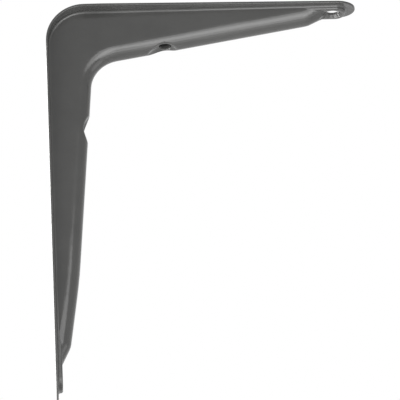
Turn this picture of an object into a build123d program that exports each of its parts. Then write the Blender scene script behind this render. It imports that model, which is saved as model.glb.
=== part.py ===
from build123d import *
import math
import os

# Shelf bracket, pressed from one piece of sheet steel.
# The wall face lies in the plane X = 0 and the shelf face in the plane Z = 0.
# The shelf arm runs along +X, the wall arm runs down along -Z, and Y = 0 is the plane of symmetry.

# Arms and sheet, in millimetres
shelf_arm = 150.0  # wall face to the tip of the shelf arm
wall_arm = 200.0  # shelf face to the tip of the wall arm
sheet = 1.0  # thickness of the steel
heel_radius = 18.7  # outside of the corner between the two faces
heel_width = 27.6  # width of the flanges round that corner
heel_straight = 8.0  # length past that corner before the flanges narrow
flank_radius = 200.0  # bend of the flanges' outline there
tip_width = 18.5  # width at both tips, which end in a half circle
edge_radius = 0.3  # roll of the sheared edges, on the visible side

# Rib with a half-round crown, hollow at the back. Depths are those of the half circle's centre.
rib_width = 12.4  # outside, over both webs
root_radius = 1.1  # bend from flange to rib, on the visible side
throat_radius = 15.5  # bend of the crown in the inner corner
shelf_root_depth = 23.7  # below the shelf face, drawn on to the wall face
shelf_end_depth = 2.5  # below the shelf face, where the taper ends
shelf_runout = 25.0  # tip of the shelf arm to that end
wall_root_depth = 18.3  # off the wall face, drawn on to the shelf face
wall_knee_depth = 6.55  # off the wall face, where the taper steepens
wall_knee = 62.5  # tip of the wall arm to that knee
knee_radius = 300.0  # bend of the crown there
wall_end_depth = 1.6  # off the wall face, where the taper ends
wall_runout = 29.3  # tip of the wall arm to that end
runout_slope = 26.0  # degrees, from there down to the pads
runout_radius = 4.0  # bend of the crown at the top of that slope

# Raised pad round the hole of each tip, as wide as the rib
pad_depth = 3.2  # mounting face to the pad's crest
pad_end = 4.8  # tip of the arm to the end of the pad
pad_corner = 5.0  # corners of that end, seen from the front

# Screw holes, each through the floor of a pressed dimple
hole_diameter = 6.2
tip_hole = 11.0  # tip of each arm to its outer hole
shelf_rib_hole = 57.5  # wall face to the inner hole of the shelf arm
wall_rib_hole = 61.0  # shelf face to the inner hole of the wall arm
dimple_floor = 6.8  # diameter of the flat round every hole
pad_dimple_angle = 38.0  # degrees, from the screw's axis to the wall of a pad's dimple
pad_dimple_depth = 1.4  # pad's crest to the dimple's floor
rib_dimple_depth = 2.7  # rib's crown to the dimple's floor
rib_dimple_angle = 52.0  # degrees, from the screw's axis to the wall of a dimple in the rib
rim_radius = 1.2  # bend at the rim of those dimples, on the visible side

rib_radius = rib_width / 2
tip_radius = tip_width / 2
shelf_end = shelf_arm - shelf_runout
wall_end = wall_arm - wall_runout
shelf_fall = (shelf_root_depth - shelf_end_depth) / shelf_end
wall_fall = (wall_root_depth - wall_knee_depth) / (wall_arm - wall_knee)
runout_fall = math.tan(math.radians(runout_slope))
touch = 0.001  # two lengths this close are the same
behind = 2 * rib_radius  # stock behind both mounting faces, trimmed away later

# Each arm's own plane: the first axis runs along the arm from the corner, the third out from its mounting face
shelf_side = Plane(origin=(0, 0, 0), x_dir=(1, 0, 0), z_dir=(0, 0, -1))
wall_side = Plane(origin=(0, 0, 0), x_dir=(0, 0, -1), z_dir=(1, 0, 0))


def arm_point(side, along, out=0):
    """The plane parallel to an arm's mounting face, its origin along the arm and out from the face."""
    return Plane(side.from_local_coords((along, 0, out)), x_dir=side.x_dir, z_dir=side.z_dir)


def crown_centre():
    """The line of centres of the half-round crown, sunk behind both mounting faces at its ends."""
    off_wall = (wall_root_depth - wall_fall * shelf_root_depth) / (1 - wall_fall * shelf_fall)
    below_shelf = shelf_root_depth - shelf_fall * off_wall
    return FilletPolyline(
        (shelf_end + (shelf_end_depth + behind) / runout_fall, behind),
        (shelf_end, -shelf_end_depth),
        (off_wall, -below_shelf),
        (wall_knee_depth, wall_knee - wall_arm),
        (wall_end_depth, -wall_end),
        (-behind, -wall_end - (wall_end_depth + behind) / runout_fall),
        radius=(runout_radius, throat_radius + rib_radius, knee_radius, runout_radius),
    )


def rib(inset):
    """The rib as a solid, with all its faces drawn in by the inset: a tube on its two webs."""
    with BuildPart() as body:
        with BuildLine(Plane.XZ) as path:
            line = crown_centre()
        with BuildSketch(Plane(origin=line @ 0, z_dir=line % 0)):
            Circle(rib_radius - inset)
        sweep(path=path.wires()[0])
        with BuildSketch(Plane.XZ):
            with BuildLine():
                edge = crown_centre()
                Polyline(edge @ 1, (-behind, behind), edge @ 0)
            make_face()
        extrude(amount=rib_radius - inset, both=True)
    return body.part


def pad(side, arm, taper_end, inset):
    """The rib's low end with its flat crest and rounded corners, with all its faces drawn in by the inset."""
    start = taper_end - rib_radius
    end = arm - pad_end - inset
    with BuildPart() as body:
        with BuildSketch(side.offset(-behind)):
            with Locations(((start + end) / 2, 0)):
                Rectangle(end - start, 2 * (rib_radius - inset))
        extrude(amount=behind + pad_depth - inset)
        uprights = body.edges().filter_by(Axis(side.origin, side.z_dir))
        fillet(uprights.group_by(Axis(side.origin, side.x_dir))[-1], pad_corner - inset)
        if inset < sheet:
            crest = body.faces().sort_by(Axis(side.origin, side.z_dir))[-1]
            fillet(crest.edges(), sheet - inset)
    return body.part


def crown_depth(root_depth, fall, along):
    """Distance of the rib's crown from an arm's mounting face, at a distance along that arm."""
    return root_depth - fall * along + rib_radius * math.hypot(1, fall)


def strip(side, arm):
    """One arm's flat blank, straight past the heel and then narrowing to a half-round tip."""
    with BuildPart() as body:
        with BuildSketch(side) as outline:
            with Locations((heel_radius + heel_straight / 2, 0)):
                Rectangle(heel_straight, heel_width)
            with Locations((arm - tip_radius, 0)):
                Circle(tip_radius)
            make_hull()
            fillet(outline.vertices().group_by(Axis.X)[1], flank_radius)
        extrude(amount=sheet)
    return body.part


def heel(inset):
    """Quarter round between the two arms, as a solid."""
    with BuildPart() as body:
        with BuildSketch(Plane.XZ):
            with Locations((heel_radius, -heel_radius)):
                Circle(heel_radius - inset)
                Rectangle(heel_radius, heel_radius, align=(Align.MAX, Align.MIN), mode=Mode.INTERSECT)
        extrude(amount=heel_width / 2, both=True)
    return body.part


def dimple(screw, angle, back):
    """A dimple's floor and wall as a cone, on the visible side, or on the back of the sheet."""
    radius = dimple_floor / 2
    if back:
        radius += sheet * math.tan(math.radians(90 - angle) / 2)
    with BuildPart() as body:
        with BuildSketch(screw.offset(-sheet) if back else screw):
            Circle(radius)
        extrude(amount=2 * pad_depth, taper=-angle)
    return body.part


def rim(body, screw):
    """Edges on the visible side where the wall of a dimple in the rib runs out into the crown."""
    spread = math.tan(math.radians(rib_dimple_angle))

    def ends_wall(edge):
        points = [screw.to_local_coords(edge @ place) for place in (0, 0.5, 1)]
        on_wall = [math.hypot(point.X, point.Y) - spread * point.Z - dimple_floor / 2 for point in points]
        return max(map(abs, on_wall)) < touch and all(point.Z > touch for point in points)

    return body.edges().filter_by(ends_wall)


def out_from_faces(point):
    """Distance of a point from the blank's outer side: an arm's mounting face, or the round heel."""
    if point.X > heel_radius:
        return -point.Z
    if -point.Z > heel_radius:
        return point.X
    return heel_radius - math.hypot(heel_radius - point.X, heel_radius + point.Z)


def level_edges(body, level):
    """Edges out from the blank's outer side by the level all along."""

    def follows(edge):
        return all(abs(out_from_faces(edge @ place) - level) < touch for place in (0, 0.5, 1))

    return body.edges().filter_by(follows)


def bends(body, level, half_width):
    """Edges between the flanges and the rib, out from the mounting faces by the level."""

    def inside(edge):
        return all(abs((edge @ place).Y) < half_width + touch for place in (0, 0.5, 1))

    return level_edges(body, level).filter_by(inside)


# Each screw's plane lies in the dimple's floor, on the visible side
shelf_crown = crown_depth(shelf_root_depth, shelf_fall, shelf_rib_hole)
wall_crown = crown_depth(wall_root_depth, wall_fall, wall_rib_hole)
shelf_tip_screw = arm_point(shelf_side, shelf_arm - tip_hole, pad_depth - pad_dimple_depth)
wall_tip_screw = arm_point(wall_side, wall_arm - tip_hole, pad_depth - pad_dimple_depth)
shelf_rib_screw = arm_point(shelf_side, shelf_rib_hole, shelf_crown - rib_dimple_depth)
wall_rib_screw = arm_point(wall_side, wall_rib_hole, wall_crown - rib_dimple_depth)
screws = (
    (shelf_tip_screw, pad_dimple_angle),
    (wall_tip_screw, pad_dimple_angle),
    (shelf_rib_screw, rib_dimple_angle),
    (wall_rib_screw, rib_dimple_angle),
)

# Space in front of both mounting faces
with BuildPart() as room:
    with BuildSketch(Plane.XZ):
        Rectangle(shelf_arm + wall_arm, shelf_arm + wall_arm, align=(Align.MIN, Align.MAX))
    extrude(amount=heel_width, both=True)
    fillet(room.edges().filter_by(Axis.Y).sort_by(SortBy.DISTANCE)[0], heel_radius)

# The hollow behind the rib and the pads, with the back of each dimple standing in it
with BuildPart() as hollow:
    add(rib(sheet))
    add(pad(shelf_side, shelf_arm, shelf_end, sheet))
    add(pad(wall_side, wall_arm, wall_end, sheet))
    for screw, angle in screws:
        add(dimple(screw, angle, back=True), mode=Mode.SUBTRACT)

# Both flanges, bent round the heel, with their sheared edges rolled
with BuildPart() as blank:
    add(strip(shelf_side, shelf_arm))
    add(strip(wall_side, wall_arm))
    add(heel(0))
    add(heel(sheet), mode=Mode.SUBTRACT)
    fillet(level_edges(blank, sheet) - blank.edges().filter_by(Axis.Y), edge_radius)

with BuildPart() as bracket:
    # Flanges and rib as one solid, bent into each other
    add(blank.part)
    add(rib(0))
    add(pad(shelf_side, shelf_arm, shelf_end, 0))
    add(pad(wall_side, wall_arm, wall_end, 0))
    add(room.part, mode=Mode.INTERSECT)
    fillet(bends(bracket, sheet, rib_radius), root_radius)
    # The hollow, its mouth bent with the same sheet
    add(hollow.part, mode=Mode.SUBTRACT)
    fillet(bends(bracket, 0, rib_radius - sheet), root_radius + sheet)
    # Dimples and their holes
    for screw, angle in screws:
        add(dimple(screw, angle, back=False), mode=Mode.SUBTRACT)
        with Locations(screw):
            Hole(hole_diameter / 2, depth=2 * pad_depth)
    for screw in (shelf_rib_screw, wall_rib_screw):
        fillet(rim(bracket, screw), rim_radius)

bracket.part.label = "bracket"
os.makedirs("parts", exist_ok=True)
export_step(bracket.part, "parts/bracket.step")
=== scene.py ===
"""Looks of the pressed shelf bracket: its stove enamel, the light and the view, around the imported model."""

import math

import bpy
import numpy as np
from mathutils import Matrix, Vector


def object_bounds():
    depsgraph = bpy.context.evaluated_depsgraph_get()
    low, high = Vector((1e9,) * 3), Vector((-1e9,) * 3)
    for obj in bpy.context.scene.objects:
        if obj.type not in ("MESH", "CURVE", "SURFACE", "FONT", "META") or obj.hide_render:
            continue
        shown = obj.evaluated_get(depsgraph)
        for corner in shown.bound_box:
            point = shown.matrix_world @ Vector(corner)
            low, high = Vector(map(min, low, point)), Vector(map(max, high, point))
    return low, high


bl_info = {
    "name": "Enamelled shelf bracket",
    "version": (1, 0, 0),
    "blender": (4, 5, 0),
    "location": "3D View > Sidebar > Bracket",
    "description": "Finishes a pressed steel shelf bracket in grey stove enamel and stages it for a picture",
    "category": "Object",
}

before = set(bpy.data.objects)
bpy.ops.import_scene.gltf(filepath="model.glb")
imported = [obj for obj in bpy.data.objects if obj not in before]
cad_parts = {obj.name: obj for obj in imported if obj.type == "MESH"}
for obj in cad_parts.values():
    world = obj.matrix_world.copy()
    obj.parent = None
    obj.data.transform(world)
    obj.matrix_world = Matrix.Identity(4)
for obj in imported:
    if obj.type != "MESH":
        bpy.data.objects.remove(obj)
MODEL_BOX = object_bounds()
MODEL_CENTRE = (MODEL_BOX[0] + MODEL_BOX[1]) / 2
MILLIMETRE = 0.001

# Range in which nearly all values of the noise lie
NOISE_LOW = 0.3
NOISE_HIGH = 0.7

# The camera's sensor in millimetres and the picture's side in pixels
SENSOR_WIDTH = 36.0
PICTURE_SIDE = 400

# Point in the bracket's plane of symmetry at the middle of the picture
VIEW_AIM = Vector((0.07159, 0, -0.09852))

# The round floor: its radius in metres, its circles of points and the points on each
FLOOR_RADIUS = 6
FLOOR_CIRCLES = 12
FLOOR_POINTS = 48

# Each softbox: turn about the bracket from the front towards +X and height over the horizon in degrees,
# distance and width in metres, power in watts. The bracket is seen from below, so most of them stand low.
SOFTBOXES = (
    ("front_softbox", 20, -5, 0.45, 0.4, 1.05),
    ("low_front_softbox", 20, -25, 0.45, 0.4, 0.9),
    ("low_right_softbox", 40, -45, 0.45, 0.4, 0.33),
    ("right_softbox", 85, -22, 0.9, 0.6, 0.9),
    ("low_left_softbox", -45, -35, 0.9, 0.7, 5.6),
    ("left_softbox", -90, -12, 0.9, 0.7, 11.5),
    ("under_left_softbox", -90, -60, 0.9, 0.7, 10.5),
    ("top_softbox", 165, 70, 1.2, 0.6, 7.5),
    ("back_softbox", 215, 30, 1.2, 1.0, 10.0),
)


def linear_colour(hex_colour):
    """The linear colour of an sRGB hex value, with full alpha."""
    value = int(hex_colour.lstrip("#"), 16)
    coded = np.array([value >> 16 & 255, value >> 8 & 255, value & 255]) / 255
    low = coded / 12.92
    high = ((coded + 0.055) / 1.055) ** 2.4
    return tuple(float(channel) for channel in np.where(coded <= 0.04045, low, high)) + (1.0,)


def add_node(tree, kind, inputs=None, **settings):
    """A node of the kind, with its attributes set and its inputs given a value or linked to a socket."""
    node = tree.nodes.new(kind)
    for name, value in settings.items():
        setattr(node, name, value)
    for name, value in (inputs or {}).items():
        if isinstance(value, bpy.types.NodeSocket):
            tree.links.new(value, node.inputs[name])
        else:
            node.inputs[name].default_value = value
    return node


def new_material(name):
    """An empty node material and its tree."""
    material = bpy.data.materials.new(name)
    material.use_nodes = True
    material.node_tree.nodes.clear()
    return material, material.node_tree


class EnamelSettings(bpy.types.PropertyGroup):
    """Sizes and colours of the enamel."""

    colour: bpy.props.StringProperty(
        name="Colour",
        description="Colour of the enamel as an sRGB hex value",
        default="#3d3d3c",
    )
    roughness: bpy.props.FloatProperty(
        name="Roughness",
        description="Roughness of the enamel's skin",
        default=0.17,
        subtype="FACTOR",
    )
    peel_width: bpy.props.FloatProperty(
        name="Orange peel width",
        description="Distance between the low waves left by spraying",
        default=2.2 * MILLIMETRE,
        unit="LENGTH",
    )
    peel_height: bpy.props.FloatProperty(
        name="Orange peel height",
        description="Greatest height of those waves, of which most reach less than half",
        default=0.05 * MILLIMETRE,
        unit="LENGTH",
        precision=6,
    )
    press_width: bpy.props.FloatProperty(
        name="Press wave width",
        description="Distance between the shallow waves left in the sheet by the press",
        default=22 * MILLIMETRE,
        unit="LENGTH",
    )
    press_height: bpy.props.FloatProperty(
        name="Press wave height",
        description="Greatest height of those waves, of which most reach less than half",
        default=0.45 * MILLIMETRE,
        unit="LENGTH",
        precision=6,
    )
    mottle_width: bpy.props.FloatProperty(
        name="Mottle width",
        description="Distance between slightly thicker and thinner places of the coat",
        default=14 * MILLIMETRE,
        unit="LENGTH",
    )
    mottle_tone: bpy.props.FloatProperty(
        name="Mottle tone",
        description="Part by which the grey is lighter or darker in those places",
        default=0.07,
        subtype="FACTOR",
    )
    mottle_gloss: bpy.props.FloatProperty(
        name="Mottle gloss",
        description="Roughness that those places have more or less than the rest",
        default=0.03,
        subtype="FACTOR",
    )


class StageSettings(bpy.types.PropertyGroup):
    """Camera, floor and surroundings."""

    view_yaw: bpy.props.FloatProperty(
        name="View yaw",
        description="Turn of the view from straight across the bracket",
        default=math.radians(-1.452),
        unit="ROTATION",
    )
    view_pitch: bpy.props.FloatProperty(
        name="View pitch",
        description="Upward tilt of the view",
        default=math.radians(22.73),
        unit="ROTATION",
    )
    view_roll: bpy.props.FloatProperty(
        name="View roll",
        description="Turn of the picture about the line of sight",
        default=math.radians(-2.173),
        unit="ROTATION",
    )
    view_distance: bpy.props.FloatProperty(
        name="View distance",
        description="Distance from the camera to the bracket",
        default=4.0,
        unit="LENGTH",
    )
    focal_pixels: bpy.props.FloatProperty(
        name="Focal length",
        description="Focal length in the picture's pixels",
        default=8341.0,
    )
    floor_drop: bpy.props.FloatProperty(
        name="Floor drop",
        description="Distance from the bracket's lowest point down to the floor",
        default=0.06,
        unit="LENGTH",
    )
    floor_colour: bpy.props.StringProperty(
        name="Floor colour",
        description="Colour of the floor as an sRGB hex value",
        default="#f2f2f0",
    )
    fade_start: bpy.props.FloatProperty(
        name="Fade start",
        description="Distance from under the bracket at which the floor begins to fade out",
        default=0.15,
        unit="LENGTH",
    )
    fade_end: bpy.props.FloatProperty(
        name="Fade end",
        description="Distance from under the bracket at which the floor is as white as the background",
        default=0.42,
        unit="LENGTH",
    )
    world_level: bpy.props.FloatProperty(
        name="World level",
        description="Light that the surroundings add to the softboxes, where 1 is white",
        default=0.12,
        subtype="FACTOR",
    )


class BRACKET_OT_enamel(bpy.types.Operator):
    """Coats the pressed bracket in grey stove enamel"""

    bl_idname = "bracket.enamel"
    bl_label = "Stove Enamel"

    def execute(self, context):
        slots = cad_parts["bracket"].material_slots
        if not slots:
            raise RuntimeError("the packed bracket has no material slot")
        enamel = stove_enamel(context.scene.bracket_enamel)
        for slot in slots:
            slot.material = enamel
        return {"FINISHED"}


def spread(tree, noise, low, high):
    """The noise stretched so that its usual range runs from low to high."""
    stretched = add_node(
        tree,
        "ShaderNodeMapRange",
        {
            "Value": noise.outputs["Fac"],
            "From Min": NOISE_LOW,
            "From Max": NOISE_HIGH,
            "To Min": low,
            "To Max": high,
        },
    )
    return stretched.outputs["Result"]


def stove_enamel(settings):
    """Dark grey stove enamel, sprayed on pressed steel and baked: a hard semi-gloss skin over an even colour.

    The press leaves shallow waves in the sheet, on which the long highlights of the bends swell and thin a
    little. Spraying leaves a fine orange peel, which roughens their edges, and a coat of slightly uneven
    thickness, which varies the grey and the gloss by a few parts in a hundred."""
    material, tree = new_material("grey_stove_enamel")
    place = add_node(tree, "ShaderNodeTexCoord").outputs["Object"]
    coat = add_node(
        tree,
        "ShaderNodeTexNoise",
        {"Vector": place, "Scale": 1 / settings.mottle_width, "Detail": 3.0, "Roughness": 0.55},
    )
    colour = add_node(
        tree,
        "ShaderNodeVectorMath",
        {
            0: linear_colour(settings.colour)[:3],
            "Scale": spread(tree, coat, 1 - settings.mottle_tone, 1 + settings.mottle_tone),
        },
        operation="SCALE",
    )
    sheet = add_node(
        tree,
        "ShaderNodeTexNoise",
        {"Vector": place, "Scale": 1 / settings.press_width, "Detail": 0.0},
    )
    pressed = add_node(
        tree,
        "ShaderNodeBump",
        {"Height": sheet.outputs["Fac"], "Strength": 1.0, "Distance": settings.press_height},
    )
    # The peel is drawn higher than on a real coat, where it is too fine to show at 0.5 mm to a pixel
    peel = add_node(
        tree,
        "ShaderNodeTexNoise",
        {"Vector": place, "Scale": 1 / settings.peel_width, "Detail": 2.0, "Roughness": 0.5},
    )
    sprayed = add_node(
        tree,
        "ShaderNodeBump",
        {
            "Height": peel.outputs["Fac"],
            "Strength": 1.0,
            "Distance": settings.peel_height,
            "Normal": pressed.outputs["Normal"],
        },
    )
    rough, change = settings.roughness, settings.mottle_gloss
    skin = add_node(
        tree,
        "ShaderNodeBsdfPrincipled",
        {
            "Base Color": colour.outputs["Vector"],
            "Roughness": spread(tree, coat, rough - change, rough + change),
            "IOR": 1.5,
            "Normal": sprayed.outputs["Normal"],
        },
    )
    add_node(tree, "ShaderNodeOutputMaterial", {"Surface": skin.outputs["BSDF"]})
    return material


class BRACKET_OT_stage(bpy.types.Operator):
    """Sets the floor, the softboxes, the world and the camera"""

    bl_idname = "bracket.stage"
    bl_label = "Stage"

    def execute(self, context):
        scene = context.scene
        settings = scene.bracket_stage
        scene.view_settings.view_transform = "Standard"
        add_floor(scene, settings)
        add_world(scene, settings)
        for softbox in SOFTBOXES:
            add_softbox(scene, *softbox)
        add_camera(scene, settings)
        return {"FINISHED"}


def add_floor(scene, settings):
    """A round pale floor below the bracket, seen from above only.

    Its points lie at one height on circles round the bracket's centre, whose radius grows evenly. The
    innermost circle is one face, and two neighbours on a circle make a quad with the same two on the next."""
    radii = np.linspace(0, FLOOR_RADIUS, FLOOR_CIRCLES + 1)[1:]
    turns = np.linspace(0, 2 * math.pi, FLOOR_POINTS, endpoint=False)
    radius, turn = (grid.ravel() for grid in np.meshgrid(radii, turns, indexing="ij"))
    height = np.full(radius.size, MODEL_BOX[0].z - settings.floor_drop)
    points = np.stack(
        [MODEL_CENTRE.x + radius * np.cos(turn), MODEL_CENTRE.y + radius * np.sin(turn), height], axis=1
    )
    first = np.arange(FLOOR_CIRCLES - 1)[:, None] * FLOOR_POINTS
    here = (first + np.arange(FLOOR_POINTS)).ravel()
    beside = (first + (np.arange(FLOOR_POINTS) + 1) % FLOOR_POINTS).ravel()
    quads = np.stack([here, here + FLOOR_POINTS, beside + FLOOR_POINTS, beside], axis=1)
    faces = [list(range(FLOOR_POINTS))] + quads.tolist()
    mesh = bpy.data.meshes.new("floor")
    mesh.from_pydata(points.tolist(), [], faces)
    mesh.update()
    floor = bpy.data.objects.new("floor", mesh)
    scene.collection.objects.link(floor)
    mesh.materials.append(pale_floor(settings))
    # Only seen, so that the softboxes below it still light the bracket
    floor.visible_shadow = False
    floor.visible_diffuse = False
    floor.visible_glossy = False
    floor.visible_transmission = False


def seen_white(tree):
    """1 for the eye, in reflections and through glass, and 0 for light that falls on the bracket."""
    path = add_node(tree, "ShaderNodeLightPath")
    either = add_node(
        tree,
        "ShaderNodeMath",
        {0: path.outputs["Is Camera Ray"], 1: path.outputs["Is Glossy Ray"]},
        operation="MAXIMUM",
    )
    seen = add_node(
        tree,
        "ShaderNodeMath",
        {0: either.outputs["Value"], 1: path.outputs["Is Transmission Ray"]},
        operation="MAXIMUM",
    )
    return seen.outputs["Value"]


def pale_floor(settings):
    """Matt pale studio floor, with the bracket's soft shadow, that fades into the white background all round.

    It is clear from below, so that a view from there passes through it."""
    material, tree = new_material("pale_floor")
    matt = add_node(tree, "ShaderNodeBsdfDiffuse", {"Color": linear_colour(settings.floor_colour)})
    white = add_node(tree, "ShaderNodeEmission", {"Color": (1, 1, 1, 1), "Strength": seen_white(tree)})
    place = add_node(tree, "ShaderNodeTexCoord").outputs["Object"]
    out = add_node(
        tree,
        "ShaderNodeVectorMath",
        {0: place, 1: (*MODEL_CENTRE.xy, MODEL_BOX[0].z)},
        operation="DISTANCE",
    )
    fade = add_node(
        tree,
        "ShaderNodeMapRange",
        {"Value": out.outputs["Value"], "From Min": settings.fade_start, "From Max": settings.fade_end},
        interpolation_type="SMOOTHSTEP",
    )
    top = add_node(
        tree,
        "ShaderNodeMixShader",
        {0: fade.outputs["Result"], 1: matt.outputs["BSDF"], 2: white.outputs["Emission"]},
    )
    clear = add_node(tree, "ShaderNodeBsdfTransparent")
    below = add_node(tree, "ShaderNodeNewGeometry").outputs["Backfacing"]
    either = add_node(
        tree,
        "ShaderNodeMixShader",
        {0: below, 1: top.outputs["Shader"], 2: clear.outputs["BSDF"]},
    )
    add_node(tree, "ShaderNodeOutputMaterial", {"Surface": either.outputs["Shader"]})
    return material


def add_world(scene, settings):
    """White for the eye, in reflections and through glass, and a faint grey as light."""
    world = bpy.data.worlds.new("studio")
    world.use_nodes = True
    tree = world.node_tree
    tree.nodes.clear()
    level = add_node(
        tree,
        "ShaderNodeMapRange",
        {"Value": seen_white(tree), "To Min": settings.world_level, "To Max": 1.0},
    )
    light = add_node(
        tree,
        "ShaderNodeBackground",
        {"Color": (1, 1, 1, 1), "Strength": level.outputs["Result"]},
    )
    add_node(tree, "ShaderNodeOutputWorld", {"Surface": light.outputs["Background"]})
    scene.world = world


def add_softbox(scene, name, turn, height, distance, width, watts):
    """A round softbox that faces the bracket's centre and isn't seen itself."""
    lamp = bpy.data.lights.new(name, "AREA")
    lamp.shape = "DISK"
    lamp.size = width
    lamp.energy = watts
    softbox = bpy.data.objects.new(name, lamp)
    turn, height = math.radians(turn), math.radians(height)
    way = Vector((math.sin(turn) * math.cos(height), -math.cos(turn) * math.cos(height), math.sin(height)))
    softbox.location = MODEL_CENTRE + distance * way
    softbox.rotation_euler = (-way).to_track_quat("-Z", "Y").to_euler()
    softbox.visible_camera = False
    scene.collection.objects.link(softbox)


def add_camera(scene, settings):
    """A long lens that looks up at the bracket from its side, aimed at a point in its plane of symmetry."""
    yaw, pitch, roll = settings.view_yaw, settings.view_pitch, settings.view_roll
    ahead = Vector((-math.sin(yaw) * math.cos(pitch), math.cos(yaw) * math.cos(pitch), math.sin(pitch)))
    level = Vector((math.cos(yaw), math.sin(yaw), 0))
    upright = level.cross(ahead)
    right = math.cos(roll) * level + math.sin(roll) * upright
    up = math.cos(roll) * upright - math.sin(roll) * level
    lens = bpy.data.cameras.new("camera")
    lens.sensor_width = SENSOR_WIDTH
    lens.lens = settings.focal_pixels * SENSOR_WIDTH / PICTURE_SIDE
    lens.clip_end = 100.0
    camera = bpy.data.objects.new("camera", lens)
    turned = Matrix((right, up, -ahead)).transposed().to_4x4()
    camera.matrix_world = Matrix.Translation(VIEW_AIM - ahead * settings.view_distance) @ turned
    scene.collection.objects.link(camera)
    scene.camera = camera


class BRACKET_PT_panel(bpy.types.Panel):
    """The bracket's steps and their settings"""

    bl_label = "Shelf Bracket"
    bl_idname = "BRACKET_PT_panel"
    bl_space_type = "VIEW_3D"
    bl_region_type = "UI"
    bl_category = "Bracket"

    def draw(self, context):
        column = self.layout.column()
        for operator, settings in (
            (BRACKET_OT_enamel, context.scene.bracket_enamel),
            (BRACKET_OT_stage, context.scene.bracket_stage),
        ):
            column.operator(operator.bl_idname)
            for name in settings.__annotations__:
                column.prop(settings, name)


CLASSES = (EnamelSettings, StageSettings, BRACKET_OT_enamel, BRACKET_OT_stage, BRACKET_PT_panel)


def register():
    """Registers the classes and hangs the settings on the scene."""
    for cls in CLASSES:
        bpy.utils.register_class(cls)
    bpy.types.Scene.bracket_enamel = bpy.props.PointerProperty(type=EnamelSettings)
    bpy.types.Scene.bracket_stage = bpy.props.PointerProperty(type=StageSettings)


def unregister():
    """Takes the settings and the classes away again."""
    del bpy.types.Scene.bracket_stage
    del bpy.types.Scene.bracket_enamel
    for cls in reversed(CLASSES):
        bpy.utils.unregister_class(cls)


def main():
    """Dresses and stages the bracket."""
    register()
    bpy.ops.bracket.enamel()
    bpy.ops.bracket.stage()


if __name__ == "__main__":
    main()
